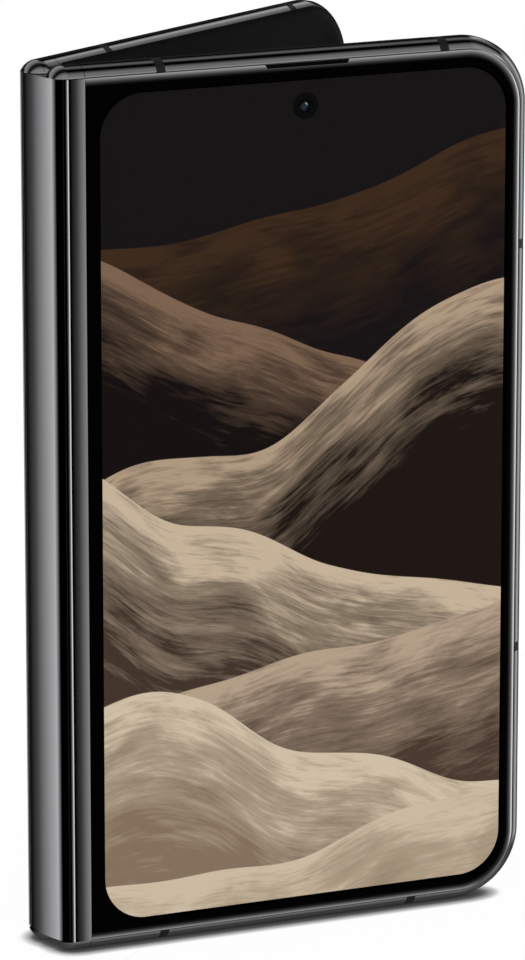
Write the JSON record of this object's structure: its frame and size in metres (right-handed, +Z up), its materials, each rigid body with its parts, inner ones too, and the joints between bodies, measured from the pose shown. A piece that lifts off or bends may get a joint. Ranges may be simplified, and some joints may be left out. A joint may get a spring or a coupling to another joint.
{
  "type": "foldable smartphone",
  "caption": "Book-style foldable smartphone, part open and standing on its bottom edge, with a rounded metal frame, a cover display and a geared double hinge.",
  "frame": {"origin": "middle of the bounding box at the bottom edge, in the stored pose with the halves 30 degrees apart", "axes": "+Z up along the spine; -Y out of the cover display; +X from the spine towards the free edge of the front half"},
  "size_m": [0.0808, 0.0488, 0.1397],
  "materials": {
    "frame_metal": "polished black",
    "antenna_plastic": "dark grey, matt",
    "clear_glass": "polished",
    "black_glass": "polished black",
    "lit_display": "lit image in browns, cream and black",
    "dark_display": "dark panel",
    "bezel_plastic": "black, fine matt",
    "mesh_metal": "dark woven mesh",
    "camera_black": "black with coated lens",
    "flash_lens": "pale diffuser",
    "battery_wrap": "dark grey foil",
    "board_green": "solder mask",
    "hinge_steel": "machined",
    "pin_steel": "ground",
    "gear_steel": "sintered",
    "washer_bronze": "sprung",
    "flex_film": "polyimide film",
    "coil_copper": "enamelled copper",
    "socket_steel": "drawn",
    "black_plastic": "moulded",
    "motor_steel": "pressed"
  },
  "bodies": {
    "front_half": {"front_frame": "frame_metal", "front_antenna_breaks": "antenna_plastic", "front_spine_strip": "frame_metal", "front_spine_caps": "frame_metal", "cover_glass": "clear_glass", "cover_display": "lit_display", "earpiece_mesh": "mesh_metal", "front_camera": "camera_black", "front_battery": "battery_wrap", "front_board": "board_green", "front_inner_bezel": "bezel_plastic", "front_inner_display": "dark_display", "front_hinge_arms": "hinge_steel", "front_hinge_pins": "pin_steel", "front_sync_gears": "gear_steel", "front_screws": "pin_steel"},
    "spine": {"hinge_cover": "frame_metal", "hinge_end_plates": "hinge_steel", "hinge_brackets": "hinge_steel", "idler_pins": "pin_steel", "friction_washers": "washer_bronze", "fold_display": "dark_display", "hinge_flex_cables": "flex_film"},
    "rear_half": {"rear_frame": "frame_metal", "rear_antenna_breaks": "antenna_plastic", "rear_spine_strip": "frame_metal", "rear_spine_caps": "frame_metal", "back_glass": "black_glass", "camera_bar": "frame_metal", "camera_window": "black_glass", "wide_camera": "camera_black", "ultrawide_camera": "camera_black", "tele_camera": "camera_black", "camera_flash": "flash_lens", "main_board": "board_green", "rear_battery": "battery_wrap", "wireless_coil": "coil_copper", "usb_shell": "socket_steel", "usb_tongue": "black_plastic", "bottom_speaker": "black_plastic", "speaker_mesh": "mesh_metal", "vibration_motor": "motor_steel", "button_switches": "motor_steel", "rear_inner_bezel": "bezel_plastic", "rear_inner_display": "dark_display", "inner_camera": "camera_black", "rear_hinge_arms": "hinge_steel", "rear_hinge_pins": "pin_steel", "rear_sync_gears": "gear_steel", "rear_screws": "pin_steel"},
    "front_idlers": {"front_idler_gears": "gear_steel"},
    "rear_idlers": {"rear_idler_gears": "gear_steel"},
    "power_button_body": {"power_button": "frame_metal"},
    "volume_key_body": {"volume_key": "frame_metal"},
    "card_tray_body": {"card_tray": "frame_metal"}
  },
  "joints": [
    {"name": "front_hinge", "type": "hinge", "parent": "front_half", "child": "spine", "pos_m": [-0.03615, -0.02148, 0.06985], "axis": [0, 0, 1], "range_deg": [-15, 75], "deforming": ["fold_display", "hinge_flex_cables"]},
    {"name": "rear_hinge", "type": "hinge", "parent": "spine", "child": "rear_half", "pos_m": [-0.03778, -0.0154, 0.06985], "axis": [0, 0, 1], "range_deg": [-15, 75], "deforming": ["fold_display", "hinge_flex_cables"]},
    {"name": "front_idler_spin", "type": "hinge", "parent": "spine", "child": "front_idlers", "pos_m": [-0.03669, -0.01945, 0.06985], "axis": [0, 0, 1], "range_deg": [-15, 75]},
    {"name": "rear_idler_spin", "type": "hinge", "parent": "spine", "child": "rear_idlers", "pos_m": [-0.03724, -0.01743, 0.06985], "axis": [0, 0, 1], "range_deg": [-75, 15]},
    {"name": "power_press", "type": "slide", "parent": "rear_half", "child": "power_button_body", "axis": [-0.866, -0.5, 0], "range_m": [0, 0.00025], "stiffness_N_per_m": 400, "springref_m": -0.001},
    {"name": "volume_press", "type": "slide", "parent": "rear_half", "child": "volume_key_body", "axis": [-0.866, -0.5, 0], "range_m": [0, 0.00025], "stiffness_N_per_m": 400, "springref_m": -0.001},
    {"name": "tray_slide", "type": "slide", "parent": "rear_half", "child": "card_tray_body", "axis": [0.866, 0.5, 0], "range_m": [0, 0.016]}
  ],
  "couplings": [
    {"joint": "rear_hinge", "follows": "front_hinge", "ratio": 1},
    {"joint": "front_idler_spin", "follows": "front_hinge", "ratio": 1},
    {"joint": "rear_idler_spin", "follows": "front_hinge", "ratio": -1}
  ]
}
